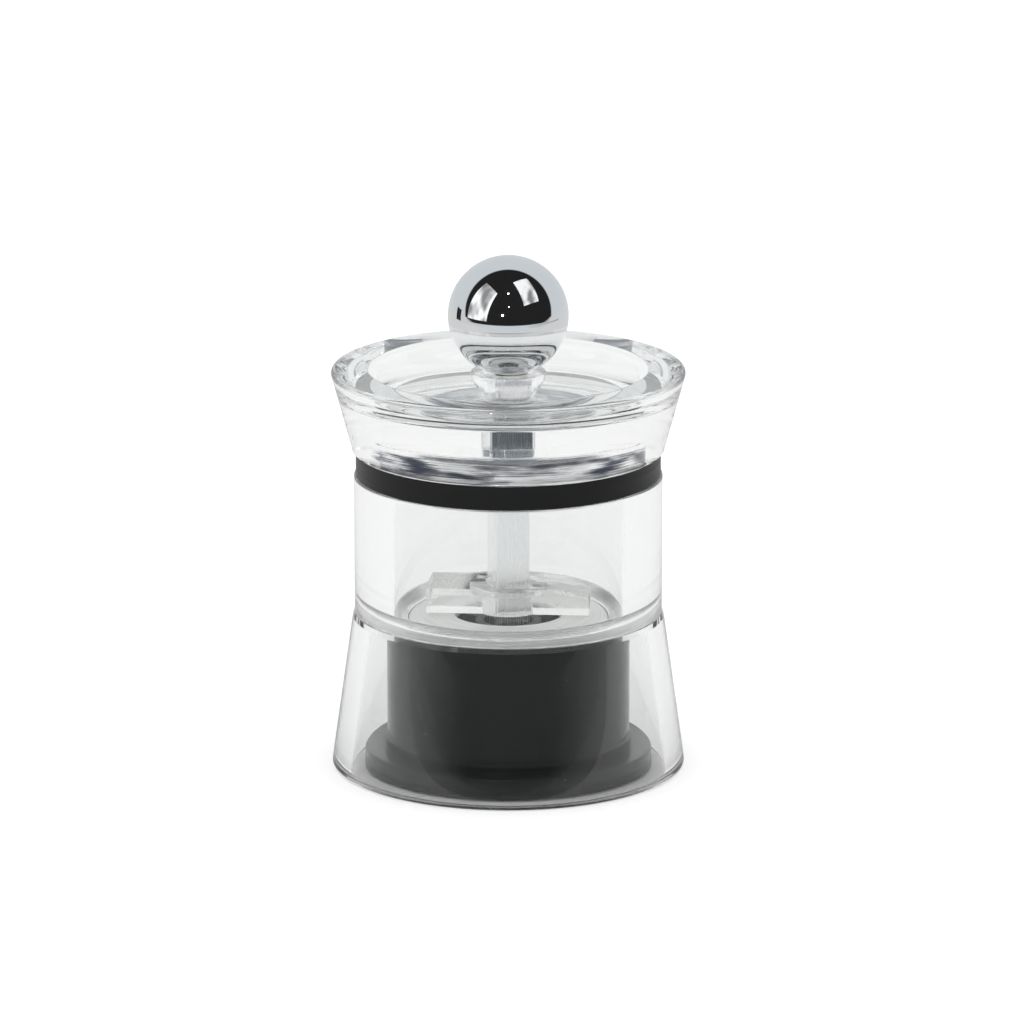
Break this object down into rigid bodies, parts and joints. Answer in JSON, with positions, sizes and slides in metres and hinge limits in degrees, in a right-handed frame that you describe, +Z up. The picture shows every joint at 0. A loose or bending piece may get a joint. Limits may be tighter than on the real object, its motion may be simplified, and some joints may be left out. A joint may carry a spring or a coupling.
{
  "type": "pepper mill",
  "caption": "Small clear acrylic pepper mill with a flared lid, black bearing ring, chrome ball knob, square spindle, feed impeller and ceramic burrs.",
  "frame": {"origin": "centre of the footprint, on the surface that the skirt stands on", "axes": "+Z up along the spindle, -Y towards the front"},
  "size_m": [0.0578, 0.0578, 0.0848],
  "materials": {
    "clear_acrylic": "polished clear acrylic",
    "clear_trim": "moulded clear plastic",
    "black_housing": "gloss moulded black plastic",
    "black_ring": "satin black",
    "black_guide": "matt black nylon",
    "silicone": "white silicone, matt",
    "ceramic": "fine ground ceramic",
    "chrome": "mirror",
    "brass": "turned",
    "aluminium": "drawn bar, satin",
    "steel": "brushed"
  },
  "bodies": {
    "body": {"hopper_body": "clear_acrylic", "base_skirt": "clear_acrylic", "mechanism_housing": "black_housing", "housing_gasket": "silicone", "outer_burr": "ceramic", "spindle_guide": "black_guide", "bridge_bar": "steel", "bridge_bush": "brass", "bridge_screws": "steel"},
    "collar": {"bearing_ring": "black_ring"},
    "head": {"lid": "clear_acrylic", "drive_hub": "clear_trim", "knob_seat": "clear_trim"},
    "knob": {"knob_ball": "chrome", "knob_insert": "brass"},
    "feeder": {"feed_impeller": "clear_trim"},
    "drive": {"spindle": "aluminium", "spindle_stud": "steel", "inner_burr": "ceramic", "burr_washer": "steel", "retaining_clip": "steel", "burr_spring": "steel"}
  },
  "joints": [
    {"name": "lid_lift", "type": "slide", "parent": "body", "child": "collar", "axis": [0, 0, 1], "range_m": [0, 0.06]},
    {"name": "grind_turn", "type": "hinge", "parent": "collar", "child": "head", "pos_m": [0, 0, 0.0528], "axis": [0, 0, 1], "continuous": true},
    {"name": "grind_adjust", "type": "hinge", "parent": "head", "child": "knob", "pos_m": [0, 0, 0.0659], "axis": [0, 0, 1], "range_deg": [0, 450]},
    {"name": "impeller_turn", "type": "hinge", "parent": "body", "child": "feeder", "pos_m": [0, 0, 0.0264], "axis": [0, 0, 1], "continuous": true},
    {"name": "spindle_set", "type": "slide", "parent": "feeder", "child": "drive", "axis": [0, 0, 1], "range_m": [-0.001, 0], "deforming": ["burr_spring"]}
  ],
  "couplings": [
    {"joint": "impeller_turn", "follows": "grind_turn", "ratio": 1},
    {"joint": "grind_adjust", "follows": "spindle_set", "rad_per_m": -7854}
  ]
}
